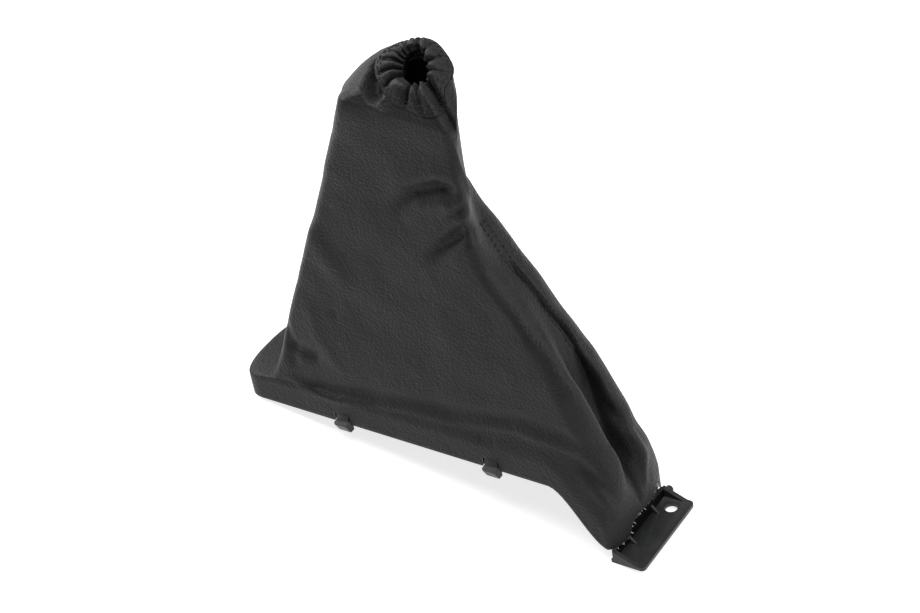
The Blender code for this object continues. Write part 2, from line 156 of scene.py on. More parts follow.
# patterns are given by scale, detail and roughness, and bumps by strength and height in metres
leather = {
    "warp": (240.0, 2.0),
    "warpSize": (0.0007, 0.0007, 0.0007),
    "pebble": {"Scale": 680.0, "Smoothness": 0.35, "Randomness": 0.95},  # cells per metre
    "fine": (2600.0, 3.0, 0.6),
    "broad": (45.0, 4.0, 0.55),
    "soft": (160.0, 3.0, 0.5),
    "softBump": (0.5, 0.0006),
    "pebbleBump": (0.75, -0.00042),
    "fineBump": (0.6, 0.00007),
    "stops": (0.30, 0.72),
    "colours": ((0.0115, 0.0115, 0.0120), (0.0185, 0.0184, 0.0188)),
    "rough": (0.44, 0.56),
    "shader": {"Specular IOR Level": 0.15, "Sheen Weight": 0.02, "Sheen Roughness": 0.5},
}


def makeLeather():
    material, tree, shader, place = makeNodes("leather_grain")
    warp = addNoise(tree, place, *leather["warp"], output="Color")
    shift = tree.nodes.new("ShaderNodeVectorMath")
    shift.operation = "MULTIPLY_ADD"
    shift.inputs[1].default_value = leather["warpSize"]
    pebble = tree.nodes.new("ShaderNodeTexVoronoi")
    pebble.feature = "SMOOTH_F1"
    setInputs(pebble, leather["pebble"])
    joinSockets(tree, (warp, shift.inputs[0]), (place, shift.inputs[2]),
                (shift.outputs["Vector"], pebble.inputs["Vector"]))
    fine = addNoise(tree, place, *leather["fine"])
    broad = addNoise(tree, place, *leather["broad"])
    soft = addNoise(tree, place, *leather["soft"])
    addBumps(tree, shader, (soft, leather["softBump"]), (pebble.outputs["Distance"], leather["pebbleBump"]),
             (fine, leather["fineBump"]))
    dress(tree, shader, leather, broad, broad)
    return material


backing = {
    "weave": {"Scale": 420.0, "Distortion": 2.5, "Detail": 2.0, "Detail Scale": 3.0},
    "fuzz": (1900.0, 3.0, 0.6),
    "weaveBump": (0.4, 0.00015),
    "fuzzBump": (0.5, 0.00012),
    "stops": (0.30, 0.70),
    "colours": ((0.30, 0.30, 0.295), (0.47, 0.47, 0.46)),
    "rough": (0.82, 0.95),
    "shader": {"Specular IOR Level": 0.2, "Sheen Weight": 0.15},
}


def makeBacking():
    material, tree, shader, place = makeNodes("knit_backing")
    weave = addWave(tree, place, "Z", backing["weave"])
    fuzz = addNoise(tree, place, *backing["fuzz"])
    addBumps(tree, shader, (weave, backing["weaveBump"]), (fuzz, backing["fuzzBump"]))
    dress(tree, shader, backing, fuzz, fuzz)
    return material


mouldedPlastic = {
    "speck": (1500.0, 2.0, 0.7),
    "broad": (90.0, 3.0),
    "texture": (3600.0, 2.0),
    "speckBump": (0.35, 0.00009),
    "textureBump": (0.35, 0.00004),
    "stops": (0.35, 0.68),
    "colours": ((0.0095, 0.0098, 0.0104), (0.020, 0.0204, 0.0214)),
    "rough": (0.34, 0.50),
    "shader": {"Specular IOR Level": 0.38},
}


def makePlastic():
    material, tree, shader, place = makeNodes("moulded_plastic")
    speck = addNoise(tree, place, *mouldedPlastic["speck"])
    broad = addNoise(tree, place, *mouldedPlastic["broad"])
    texture = addNoise(tree, place, *mouldedPlastic["texture"])
    addBumps(tree, shader, (speck, mouldedPlastic["speckBump"]), (texture, mouldedPlastic["textureBump"]))
    dress(tree, shader, mouldedPlastic, speck, broad)
    return material


# near-black for the riser under the loose front edge: painted shade standing in for the deep unlit hollow there
hollow = {
    "speck": (600.0, 2.0),
    "stops": (0.3, 0.7),
    "colours": ((0.0010, 0.0010, 0.0011), (0.0030, 0.0030, 0.0032)),
    "rough": 0.75,
    "shader": {"Specular IOR Level": 0.05},
}


def makePaintedShade():
    material, tree, shader, place = makeNodes("painted_shade_hollow")
    speck = addNoise(tree, place, *hollow["speck"])
    dress(tree, shader, hollow, speck)
    return material


thread = {
    "twist": {"Scale": 900.0, "Distortion": 1.0},
    "twistBump": (0.5, 0.0001),
    "stops": (0.2, 0.8),
    "rough": 0.55,
    "shader": {"Specular IOR Level": 0.15, "Sheen Weight": 0.1},
}


def makeThread(name, low, high):
    material, tree, shader, place = makeNodes(name)
    twist = addWave(tree, place, "DIAGONAL", thread["twist"])
    addBumps(tree, shader, (twist, thread["twistBump"]))
    dress(tree, shader, {**thread, "colours": (low, high)}, twist)
    return material


leatherMaterial = makeLeather()
backingMaterial = makeBacking()
plasticMaterial = makePlastic()
paintedShadeMaterial = makePaintedShade()
darkThread = makeThread("dark_thread", (0.004, 0.004, 0.0045), (0.013, 0.013, 0.014))
paleThread = makeThread("pale_thread", (0.42, 0.42, 0.41), (0.66, 0.66, 0.65))
elasticMaterial = makeThread("braided_elastic", (0.012, 0.012, 0.013), (0.045, 0.045, 0.047))
print("materials made")


# sleeve
sleeve = {
    "rimLength": 0.2275,
    "halfWidth": 0.027,
    "rearCorner": 0.015,
    "frontCorner": 0.006,
    "wallHeight": 0.0115,
    "edgeDropFromFront": 0.0035,
    "edgeDropLength": 0.032,
    "edgeDrop": 0.032,
    "wallPowers": (3.0, 2.6),  # how square the corners are at the rear and the front
    "wallShares": (0.0, 0.45, 1.0),
    "wallTop": 1.13,
    "rawEdgeStart": 0.0030,
    "rawEdgeFade": 0.0015,
    "ridgeHeight": 0.0155,
    "ridgeRise": 0.0090,
    "ridgePower": 1.5,
    "ridgePowers": (2.2, 2.3),
    "rowPowers": (2.2, 2.6),
    "ridgeInset": 0.0006,
    "ridgeFrontInset": 0.0030,
    "rearRoll": 0.0022,
    "noseBulge": 0.0025,
    "noseLength": 0.0140,
    "noseDrop": 0.0230,
    "noseShares": (0.86, 0.14),  # where the drop starts along the rim, and how long it is
    "noseCrowding": 1.35,
    "slopeFoot": 0.0230,
    "rearFold": 0.009,
    "shoulderRear": 0.0885,
    "shoulderFront": 0.155,
    "shoulderHeight": 0.189,
    "shoulderHalf": 0.017,
    "creaseRise": 0.0105,
    "creaseFall": 0.0085,
    "creasePower": 1.6,
    "roofBlend": 4,
    "roofSwell": 0.0022,
    "roofRings": ((0.12, 0.45), (0.5, 1.0)),  # share of the way to the collar, and share of the swell
    "roofReach": (0.014, 0.3),
    "valleyDepth": 0.014,
    "valleyShape": (0.030, 0.024, 0.34),  # start and fade behind the front, and share of the half width
    "ridgeValley": 0.55,
    "frontDepth": 0.5,
    "frontTaper": 0.90,
    "thickness": 0.0010,
    "hookPlaces": (0.0665, 0.1590),
    "notchHalf": 0.0050,
    "notchHeight": 0.0056,
    "notchClear": 0.0009,
    "notchPair": 0.00012,
    "rearPoints": 34,
    "sidePoints": 86,
    "frontPoints": 54,
    "rowSpacing": 0.00165,
    "roofSpacing": 0.0007,
    "rearTurn": (0.0115, -0.0075),
    "rearTurnPower": 5,
    "tuck": (0.0055, -0.0026),  # inwards from the stitched ring, and down
    "freeStart": (0.010, 0.012),  # above the lower edge, where the skin leaves the wall
    "swells": ((0.026, 0.0010, 3.1), (0.011, 0.00028, 7.7)),  # size, height and seed
    "innerStep": 2,
    "paintedShadeAbove": 0.150,  # above here the inside takes the dark leather instead of the pale backing: painted shade for the unlit inside
}
# rows from the rim to the shoulder: share of the way up at the rear and the front, rear and front places,
# width, front valley and skew
sleeveRows = (
    (0.085, 0.150, -0.090, 0.853, 0.87, 1.00, 0.0020),
    (0.140, 0.240, 0.000, 0.760, 0.78, 0.95, 0.0025),
    (0.250, 0.330, 0.123, 0.647, 0.66, 0.60, 0.0030),
    (0.420, 0.480, 0.345, 0.415, 0.40, 0.20, 0.0040),
    (0.600, 0.620, 0.555, 0.140, 0.22, 0.08, 0.0060),
    (0.780, 0.750, 0.765, -0.007, 0.03, 0.00, 0.0125),
    (0.920, 0.890, 0.925, -0.013, -0.05, 0.00, 0.0125),
    (0.985, 0.975, 0.995, -0.010, 0.01, 0.00, 0.0110),
    (1.000, 1.000, 1.000, 0.000, 0.00, 0.00, 0.0100),
)
# share of the way along the far shoulder, and its height above shoulderHeight in millimetres
farCrown = ((0.0, -0.5), (0.09, 6.0), (0.22, 14.5), (0.40, 24.0), (0.54, 29.5), (0.66, 31.0), (0.78, 29.0),
            (0.90, 24.5), (1.0, 18.8))
# height of the cut front edge above the rim's line, across the nose, in millimetres
cutEdge = ((-27, -32), (-24, -32), (-16, -33.5), (-12, -33), (-9.5, -28), (-3, -26), (5, -27.5), (13, -28),
           (17, -24), (20, -24), (24, -29), (26, -32), (27, -32))
collar = {
    "place": (0.134, 0.001, 0.211),
    "leanSide": 33.0,  # degrees
    "leanFront": 6.0,
    "outset": 0.0004,
    "lift": 0.0006,
    "rise": 0.0060,
    "crown": 0.66,  # share of the way in where the dome is highest
    "dip": (0.42, 0.72),  # how much it falls again, and from where
    "spread": 0.92,
    "mouthCentre": (0.0015, 0.0006),
    "mouthRadius": 0.0076,
    "mouthWaves": ((0.18, 2.0, -2.8), (0.08, 3.0, 2.0)),
    "mouthPleat": 0.0016,
    "twistWaves": ((5.0, 2.0, 0.8), (3.0, 5.0, 0.0)),  # degrees
    "pleatDepth": 0.0050,
    "pleatLevel": 0.8,
    "pleatGrow": (0.04, 0.42),
    "farPleats": (0.45, 0.35, 0.5),  # how much shallower the far pleats are, from where, and how that fades in
    "valleyHalf": 2.6,  # degrees
    "fullLobe": 30.0,
    "lobePower": 0.45,
    "hemDepth": 0.0085,
    "hemFlare": (0.28, 1.4),
    "hemShares": (0.12, 1.0, 12),
    "thickness": 0.0011,
    "around": 480,
    "rows": 40,
}
# stitched ring: direction in degrees, and distance from the collar's centre in millimetres
ringShape = ((0, 16.8), (18, 16.9), (60, 15.6), (95, 16.2), (140, 18.2), (175, 20.3), (193, 18.9), (214, 16.8),
             (239, 16.6), (262, 17.3), (280, 18.0), (292, 20.0), (305, 23.4), (317, 25.6), (328, 22.0), (343, 17.2))
# pleats: direction of each valley in degrees, and how deep it is against the others
pleatValleys = ((6, 0.35), (41, 1.0), (74, 0.9), (98, 1.0), (123, 0.8), (139, 0.9), (157, 0.8), (175, 0.9),
                (198, 1.0), (227, 0.9), (281, 1.0), (304, 0.7), (326, 1.3))

leanMatrix = Matrix.Rotation(math.radians(collar["leanSide"]), 3, "X") @ \
    Matrix.Rotation(math.radians(collar["leanFront"]), 3, "Y")
collarAhead = np.array(leanMatrix @ Vector((1, 0, 0)))
collarAcross = np.array(leanMatrix @ Vector((0, 1, 0)))
collarUp = np.array(leanMatrix @ Vector((0, 0, 1)))
collarPlace = np.array(collar["place"])


def collarPoint(u, v, lift):
    u, v, lift = np.broadcast_arrays(u, v, lift)
    return collarPlace + u[..., None] * collarAhead + v[..., None] * collarAcross + lift[..., None] * collarUp


def collarFlat(points):
    away = points - collarPlace
    return away @ collarAhead, away @ collarAcross, away @ collarUp


def curveThrough(where, places, values):
    # a smooth curve through pairs of place and value
    slopes = np.gradient(values, places)
    k = np.clip(np.searchsorted(places, where, side="right") - 1, 0, len(places) - 2)
    span = places[k + 1] - places[k]
    t = np.clip((where - places[k]) / span, 0.0, 1.0)
    return hermite(t, span, values[k], values[k + 1], slopes[k], slopes[k + 1])


def ringRadius(angle):
    places, values = np.array(ringShape, float).T
    places = np.concatenate((places[-3:] - 360.0, places, places[:3] + 360.0))
    values = np.concatenate((values[-3:], values, values[:3]))
    return curveThrough(np.mod(np.degrees(angle), 360.0), places, values) * 0.001


def lowerEdge(x):
    start = sleeve["rimLength"] - sleeve["edgeDropFromFront"] - sleeve["edgeDropLength"]
    return -sleeve["edgeDrop"] * smooth((x - start) / sleeve["edgeDropLength"])


def sideShares():
    # evenly spread, with a close pair of points at each side of a hook's notch
    rear = sleeve["rearCorner"]
    length = sleeve["rimLength"] - sleeve["frontCorner"] - rear
    edges = [(place + side * sleeve["notchHalf"] - rear) / length
             for place in sleeve["hookPlaces"] for side in (-1, 1)]
    clear = sleeve["notchClear"] / length
    pair = sleeve["notchPair"] / length
    kept = [share for share in np.arange(sleeve["sidePoints"]) / sleeve["sidePoints"]
            if all(abs(share - edge) > clear for edge in edges)]
    kept = sorted(kept + [edge + side * pair for edge in edges for side in (-1, 1)])
    return np.array(kept)


shares = sideShares()


def planOutline(rear, front, half, rearEnd, frontEnd, rearPower, frontPower, frontHalf=None):
    # rear end first, then the -Y side, the front end, and back along the +Y side
    frontHalf = half if frontHalf is None else frontHalf
    a = 0.5 * math.pi * np.arange(sleeve["rearPoints"]) / sleeve["rearPoints"]
    rearArc = np.column_stack((rear + rearEnd * (1.0 - np.cos(a) ** (2.0 / rearPower)),
                               -half * np.sin(a) ** (2.0 / rearPower)))
    side = np.column_stack((rear + rearEnd + (front - frontEnd - rear - rearEnd) * shares,
                            -half + (half - frontHalf) * shares))
    s = np.arange(sleeve["frontPoints"] + 1) / sleeve["frontPoints"]
    a = 0.5 * math.pi * (1.0 - (1.0 - s) ** sleeve["noseCrowding"])
    frontArc = np.column_stack((front - frontEnd * (1.0 - np.sin(a) ** (2.0 / frontPower)),
                                -frontHalf * np.clip(np.cos(a), 0.0, 1.0) ** (2.0 / frontPower)))
    quarter = np.concatenate((rearArc, side, frontArc))
    quarter[0, 1] = 0.0
    quarter[-1, 1] = 0.0
    other = quarter[1:-1][::-1] * np.array((1.0, -1.0))
    return np.concatenate((quarter, other))


def pressValley(ring, front, half, depth):
    start, fade, wide = sleeve["valleyShape"]
    nose = smooth((ring[:, 0] - front + start) / fade)
    ring[:, 0] -= depth * nose * np.exp(-(ring[:, 1] / (half * wide)) ** 2)


def roofHeight(share, across):
    near = sleeve["creaseRise"] - sleeve["creaseFall"] * np.clip(share, 0.0, 1.0) ** sleeve["creasePower"]
    places, values = np.array(farCrown, float).T
    far = curveThrough(share, places, values * 0.001)
    return sleeve["shoulderHeight"] + between(near, far, 0.5 + 0.5 * across)


def sleeveLevels():
    half = sleeve["halfWidth"]
    base = planOutline(0.0, sleeve["rimLength"], half, sleeve["rearCorner"], sleeve["frontCorner"],
                       *sleeve["wallPowers"])
    edge = lowerEdge(base[:, 0])
    top = edge + sleeve["wallHeight"] * sleeve["wallTop"]
    bottom = edge.copy()
    for place in sleeve["hookPlaces"]:
        notch = np.abs(base[:, 0] - place) < sleeve["notchHalf"]
        bottom = np.where(notch, sleeve["notchHeight"], bottom)
    rawEdge = np.interp(base[:, 1], *np.array(cutEdge).T * 0.001)
    atFront = smooth((base[:, 0] - sleeve["rimLength"] + sleeve["rawEdgeStart"]) / sleeve["rawEdgeFade"])
    bottom = between(bottom, rawEdge, atFront)
    levels = [np.column_stack((base, between(bottom, top, share))) for share in sleeve["wallShares"]]
    nose = sleeve["rimLength"] + sleeve["noseBulge"]
    along = base[:, 0] / sleeve["rimLength"]
    ridge = planOutline(sleeve["rearRoll"], nose, half - sleeve["ridgeInset"],
                        sleeve["rearCorner"] + sleeve["rearRoll"] * 2, sleeve["noseLength"],
                        *sleeve["ridgePowers"], half - sleeve["ridgeFrontInset"])
    dropStart, dropLength = sleeve["noseShares"]
    front = np.clip((along - dropStart) / dropLength, 0.0, 1.0)
    lift = (sleeve["ridgeHeight"] + sleeve["ridgeRise"] * along ** sleeve["ridgePower"]
            - sleeve["noseDrop"] * front * front)
    pressValley(ridge, nose, half, sleeve["valleyDepth"] * sleeve["ridgeValley"])
    levels.append(np.column_stack((ridge, lift)))
    for riseRear, riseFront, placeRear, placeFront, wide, valley, skew in sleeveRows:
        rear = between(sleeve["slopeFoot"], sleeve["shoulderRear"], placeRear)
        ahead = between(sleeve["shoulderFront"], nose, placeFront)
        wideHalf = between(sleeve["shoulderHalf"], half, wide)
        ring = planOutline(rear, ahead, wideHalf, sleeve["rearFold"], wideHalf * sleeve["frontDepth"],
                           *sleeve["rowPowers"], wideHalf * sleeve["frontTaper"])
        share = (ring[:, 0] - rear) / (ahead - rear)
        across = ring[:, 1] / wideHalf
        rise = between(riseRear, riseFront, share)
        roof = roofHeight(share, across) - sleeve["shoulderHeight"]
        height = sleeve["shoulderHeight"] * rise + roof * rise ** sleeve["roofBlend"]
        ring[:, 0] -= skew * across * share ** 2
        turned = between(*sleeve["rearTurn"], 0.5 + 0.5 * across) * (1.0 - share) ** 2
        ring[:, 0] += turned * riseRear ** sleeve["rearTurnPower"]
        pressValley(ring, ahead, wideHalf, sleeve["valleyDepth"] * valley)
        levels.append(np.column_stack((ring, height)))
    # the roof ends on the stitched ring and tucks in under the collar
    shoulder = levels[-1]
    u, v, lift = collarFlat(shoulder)
    angle = np.arctan2(v, u)
    around = ringRadius(angle)
    stitched = collarPoint(around * np.cos(angle), around * np.sin(angle), 0.0)
    # the roof swells most behind the collar and on its far side
    rearward = smooth(0.5 - 0.9 * np.cos(angle)) * smooth(0.9 + 0.9 * np.sin(angle))
    length, start = sleeve["roofReach"]
    reach = np.clip(norm(shoulder - stitched, axis=1) / length - start, 0.0, 1.0)
    for share, swell in sleeve["roofRings"]:
        lifted = (sleeve["roofSwell"] * swell * rearward * reach)[:, None] * collarUp
        levels.append(between(shoulder, stitched, share) + lifted)
    levels.append(stitched)
    inwards, drop = sleeve["tuck"]
    inside = around - inwards
    levels.append(collarPoint(inside * np.cos(angle), inside * np.sin(angle), drop))
    return levels


def sweepLevels(levels, spacing):
    stack = np.array(levels)
    steps = norm(np.diff(stack, axis=0), axis=2).mean(axis=1)
    knots = np.concatenate(([0.0], np.cumsum(np.sqrt(steps))))
    secants = np.diff(stack, axis=0) / np.diff(knots)[:, None, None]
    before, after = secants[:-1], secants[1:]
    total = np.where(np.abs(before + after) > 1e-12, before + after, 1.0)
    middle = np.where(before * after > 0.0, 2.0 * before * after / total, 0.0)
    slopes = np.concatenate((secants[:1], middle, secants[-1:]))
    rows = []
    for k, step in enumerate(steps):
        span = knots[k + 1] - knots[k]
        count = max(2, int(round(step / (spacing if k < len(steps) - 4 else sleeve["roofSpacing"]))))
        for t in np.arange(count) / count:
            rows.append(hermite(t, span, stack[k], stack[k + 1], slopes[k], slopes[k + 1]))
    rows.append(stack[-1])
    return np.array(rows)


def gridNormals(grid):
    around = np.roll(grid, -1, axis=1) - np.roll(grid, 1, axis=1)
    upward = np.gradient(grid, axis=0)
    normals = np.cross(around, upward)
    return normals / np.maximum(norm(normals, axis=2, keepdims=True), 1e-12)


def lineDistance(points, line):
    # distance to a broken line, and how far along it the nearest place is
    line = np.array(line, float)
    lengths = norm(np.diff(line, axis=0), axis=1)
    best = np.full(points.shape[:-1], 1.0)
    place = np.zeros(points.shape[:-1])
    walked = 0.0
    for start, end, length in zip(line, line[1:], lengths):
        t = np.clip((points - start) @ (end - start) / length ** 2, 0.0, 1.0)
        gap = norm(points - start - t[..., None] * (end - start), axis=-1)
        nearer = gap < best
        best = np.where(nearer, gap, best)
        place = np.where(nearer, (walked + t * length) / lengths.sum(), place)
        walked += length
    return best, place


# folds and creases: how deep (negative stands proud), how wide, and then the points, all in millimetres;
# those marked flat are drawn on the collar's own plane, and those marked under leave the collar itself alone
foldReach = (0.012, 0.004)  # how far from the collar's plane a flat fold reaches, and how it fades
rollSpread = 2.45
folds = (
    ("upper wrinkle", 6.2, 4.6, {"roll": 0.35, "fade": (0.5, 0.25)}, (118, -18, 137), (123, -18, 144),
     (132, -17, 154), (148, -16, 160), (163, -14, 159)),
    ("lower wrinkle", 5.8, 4.4, {"roll": 0.35, "fade": (0.5, 0.3)}, (134, -19, 116), (145, -17, 126),
     (158, -15, 138), (166, -10, 142)),
    ("small wrinkle", 3.2, 3.0, {"roll": 0.3, "fade": (0.4, 0.25)}, (150, -19, 143), (158, -17, 150),
     (166, -12, 152)),
    ("above the ridge", 1.3, 3.4, {"fade": (0.1, 0.1)}, (36, -26, 22), (51, -25, 19), (63, -26, 19), (82, -25, 22),
     (106, -24, 27), (135, -24, 28), (177, -23, 35), (206, -23, 33), (218, -20, 22)),
    ("ridge", -0.9, 2.6, {"fade": (0.1, 0.15)}, (18, -23, 16), (35, -26, 20), (51, -26, 16), (63, -27, 15),
     (82, -25, 17), (106, -25, 21), (135, -25, 22), (177, -24, 28), (208, -23, 25), (220, -20, 14)),
    ("seam groove", 3.4, 1.5, {"power": 1.6, "fade": (0.12, 0.05)}, (163, 3, 120), (171, 3, 109), (176, 4, 101),
     (185, 5, 88), (192, 7, 76), (198, 7, 66), (201, 6, 54), (205, 4, 40), (209, 3, 27), (214, 1, 17), (220, 0, 6),
     (224, 1, -4), (226, 1, -14), (227, 1, -26)),
    ("front valley", 5.5, 5.0, {"power": 1.8, "fade": (0.3, 0.3)}, (197, 6, 66), (201, 5, 54), (205, 4, 40),
     (209, 3, 27), (214, 1, 17), (220, 1, 6), (224, 1, -4), (226, 1, -14)),
    ("near crest", -2.2, 4.5, {"fade": (0.2, 0.2)}, (188, -10, 87), (195, -13, 77), (202, -14, 63), (210, -13, 47),
     (216, -12, 31), (224, -10, 13), (227, -8, 0)),
    ("panel corner", -0.7, 3.4, {"fade": (0.4, 0.4)}, (190, -18, 82), (196, -17, 73), (201, -18, 64),
     (206, -17, 54)),
    ("far lobe", -1.6, 3.0, {}, (198, 9, 62), (206, 11, 45), (209, 11, 37), (213, 12, 32), (217, 15, 29)),
    ("under the far lobe", 2.2, 3.5, {}, (209, 8, 32), (214, 9, 25), (219, 12, 20)),
    ("far crest", -1.8, 2.6, {"fade": (0.2, 0.15)}, (221, 13, 20), (224, 12, 12), (227, 11, 2), (227, 9, -7),
     (227, 6, -17)),
    ("second fold", -1.6, 3.2, {"fade": (0.4, 0.3)}, (209, -24, 18), (215, -25, 10), (222, -24, 0),
     (226, -21, -14)),
    ("above the second fold", 2.4, 3.8, {"fade": (0.4, 0.4)}, (205, -23, 24), (211, -23, 18), (218, -24, 10),
     (224, -21, 2), (227, -18, -8)),
    ("below the second fold", 1.4, 3.0, {"fade": (0.4, 0.4)}, (215, -26, 3), (221, -25, -5), (225, -24, -13),
     (226, -23, -21)),
    ("rear tuck", 2.2, 3.4, {}, (36, -22, 44), (44, -24, 40), (52, -24, 39), (60, -24, 37)),
    ("rear tuck upright", 1.5, 2.6, {}, (38, -23, 60), (40, -24, 47), (40, -25, 34), (40, -26, 25)),
    ("light streak", -0.7, 4.0, {}, (56, -22, 78), (60, -24, 52), (68, -25, 38), (76, -25, 30)),
    ("broad streak", -0.9, 6.5, {}, (62, -19, 128), (67, -19, 117), (76, -20, 100), (88, -21, 82)),
    ("dimple", 0.6, 2.8, {"fade": (0, 0)}, (71, -22, 72), (73, -22, 70), (75, -22, 69)),
    ("front edge", -1.3, 1.8, {"fade": (0.1, 0.2)}, (161, -14, 188), (161, -12, 180), (160, -8, 163),
     (159, -4, 146)),
    ("recess", 7.6, 3.6, {"flat": True, "under": True, "power": 2.2, "fade": (0.25, 0.3)}, (-18.8, 4), (-19.6, -2),
     (-19.4, -6.5), (-17.4, -11), (-13.8, -14.6), (-9.6, -16.8)),
    ("recess lip", -1.0, 1.5, {"flat": True, "fade": (0.2, 0.2)}, (-24.2, 2), (-25.2, -6.6), (-23.0, -14.0),
     (-17.6, -19.4), (-10.5, -21.6), (-5.0, -21.0)),
    ("valley beside the flap", 4.6, 1.9, {"flat": True, "power": 1.7, "fade": (0.1, 0.35)}, (8, -1.9), (12.4, -6),
     (16.3, -10.2), (21, -15.1), (26.2, -20), (30.5, -24), (34, -28)),
    ("flap", -0.7, 3.2, {"flat": True, "fade": (0.3, 0.4)}, (13.5, -2.0), (19, -7.4), (24.5, -13.2), (29.5, -18.5),
     (34.5, -23.5)),
)


def neighbourSum(values):
    # each grid place's four neighbours added up
    padded = np.concatenate((values[:1], values, values[-1:]))
    return np.roll(values, 1, axis=1) + np.roll(values, -1, axis=1) + padded[2:] + padded[:-2]


def softNormals(grid):
    normals = gridNormals(grid)
    for _ in range(6):
        normals = 2.0 * normals + neighbourSum(normals)
        normals /= np.maximum(norm(normals, axis=2, keepdims=True), 1e-12)
    return normals


def pressFolds(grid, onCollar=False):
    depth = np.zeros(grid.shape[:2])
    sunk = np.zeros(grid.shape[:2])
    u, v, lift = collarFlat(grid)
    onPlane = np.stack((u, v), axis=-1)
    reach, fade = foldReach
    near = smooth((reach - np.abs(lift)) / fade)
    for _, deep, wide, look, *line in folds:
        if onCollar and look.get("under"):
            continue
        flat = look.get("flat", False)
        gap, place = lineDistance(onPlane if flat else grid, np.array(line) * 0.001)
        width = wide * 0.001
        fadeIn, fadeOut = look.get("fade", (0.25, 0.25))
        ends = smooth(place / max(fadeIn, 1e-6)) * smooth((1.0 - place) / max(fadeOut, 1e-6))
        profile = bell(gap, width, look.get("power", 2.0)) - look.get("roll", 0.0) * bell(gap, width * rollSpread)
        if flat:
            sunk += deep * 0.001 * ends * profile * near
        else:
            depth += deep * 0.001 * ends * profile
    return grid - softNormals(grid) * depth[..., None] - collarUp * sunk[..., None]


# pushes on the finished skins: how far they reach, and then each one's place and push, all in millimetres
pushStart = (0.012, 0.014)  # above the lower edge, where they set in, and how they fade in
pushes = (
    (22, ((101, -14, 195, 2.0, -3.1, 3.4),)),
    (12, ((96, 2, 199, 2.6, -4.1, 4.4),)),
    (10, ((104, 9, 208, 1.2, -1.9, 2.0),)),
    (8, ((150, 6, 212, 1.2, 1.2, 0.8), (154, 1, 206, 1.5, 1.2, 0.3))),
    (9, ((148, 12, 141, 0.6, 2.6, 4.6),)),
    (11, ((126, 11, 221, 0.1, -0.8, -0.9), (135, 11, 222, -0.5, 1.2, 1.7), (143, 11, 219, 1.1, 0.6, -0.3),
         (102, 5, 206, 0.5, 0.1, -0.3), (149, 6, 215, -1.1, -1.0, -0.1), (98, 0, 201, 0.1, -0.4, -0.5),
         (151, 2, 208, 0.9, 0.8, 0.0), (97, -9, 198, 2.0, 1.0, -0.6), (154, 0, 202, -1.2, -0.9, 0.1),
         (101, -16, 195, -2.1, -1.0, 0.7), (158, -6, 198, 1.3, 0.8, -0.2), (96, -16, 185, -0.3, -0.2, 0.0),
         (91, -15, 174, -0.7, -0.3, 0.3), (158, -7, 180, 0.7, 0.6, 0.0), (88, -16, 165, -0.4, -0.3, 0.1),
         (161, -10, 173, -0.6, -0.5, 0.0), (83, -16, 154, -0.9, -0.3, 0.4), (150, 8, 137, -0.7, -1.1, -0.5),
         (154, 11, 130, 1.2, 1.8, 0.9), (68, -18, 121, 0.5, 0.2, -0.2), (163, 12, 116, 0.8, 1.3, 0.7),
         (65, -20, 111, -0.6, -0.3, 0.2), (61, -20, 99, -0.7, -0.3, 0.2), (55, -20, 88, -0.8, -0.4, 0.3),
         (50, -21, 76, -0.7, -0.3, 0.4), (184, 14, 88, -0.3, -0.4, -0.2), (189, 14, 80, -0.7, -0.9, -0.4),
         (45, -22, 64, -0.4, -0.2, 0.1), (193, 14, 73, 0.5, 0.7, 0.3), (198, 15, 65, -0.8, -1.2, -0.6),
         (3, 2, 16, 1.8, -0.2, -1.8), (202, 16, 56, 0.1, 0.2, 0.2), (214, 16, 32, -0.3, -0.4, -0.2),
         (218, 17, 23, 0.4, 0.5, 0.2), (223, 17, 15, -1.9, -2.9, -1.4), (227, 16, 7, -0.6, 0.0, 0.5),
         (227, 18, -6, -0.4, -0.5, -0.1), (226, 20, -18, -0.5, -0.3, 0.1))),
)


def pushed(grid):
    start, fade = pushStart
    free = smooth((grid[..., 2] - lowerEdge(grid[..., 0]) - start) / fade)
    total = np.zeros_like(grid)
    for reach, rows in pushes:
        for row in np.array(rows) * 0.001:
            gap = norm(grid - row[:3], axis=-1)
            total += bell(gap, reach * 0.001)[..., None] * row[3:]
    return grid + total * free[..., None]


def waver(grid, size, height, seed):
    # slow uneven swelling, as soft leather has
    flat = grid.reshape(-1, 3)
    shift = Vector((seed, seed * 0.37, -seed * 0.61))
    values = [noise.noise(Vector(p) / size + shift) for p in flat]
    return np.array(values).reshape(grid.shape[:2]) * height


innerFit = {
    "flatBend": 0.00002,
    "halfBend": 0.00012,  # past the flat bend, what halves the thickness
    "grooveGain": 3.5,
    "grooveLimit": 0.0006,
}


def innerSkin(grid, thickness):
    # offset inwards, less under a sharp ridge and more under a groove, so that the skins never cross
    normals = softNormals(grid)
    bend = -((0.25 * neighbourSum(grid) - grid) * normals).sum(axis=2)
    for _ in range(2):
        bend = 0.2 * (bend + neighbourSum(bend))
    ridge = np.clip(bend - innerFit["flatBend"], 0.0, 1.0) / innerFit["halfBend"]
    groove = np.clip(-bend, 0.0, innerFit["grooveLimit"])
    depth = thickness / (1.0 + ridge) + innerFit["grooveGain"] * groove
    return grid - normals * depth[..., None]


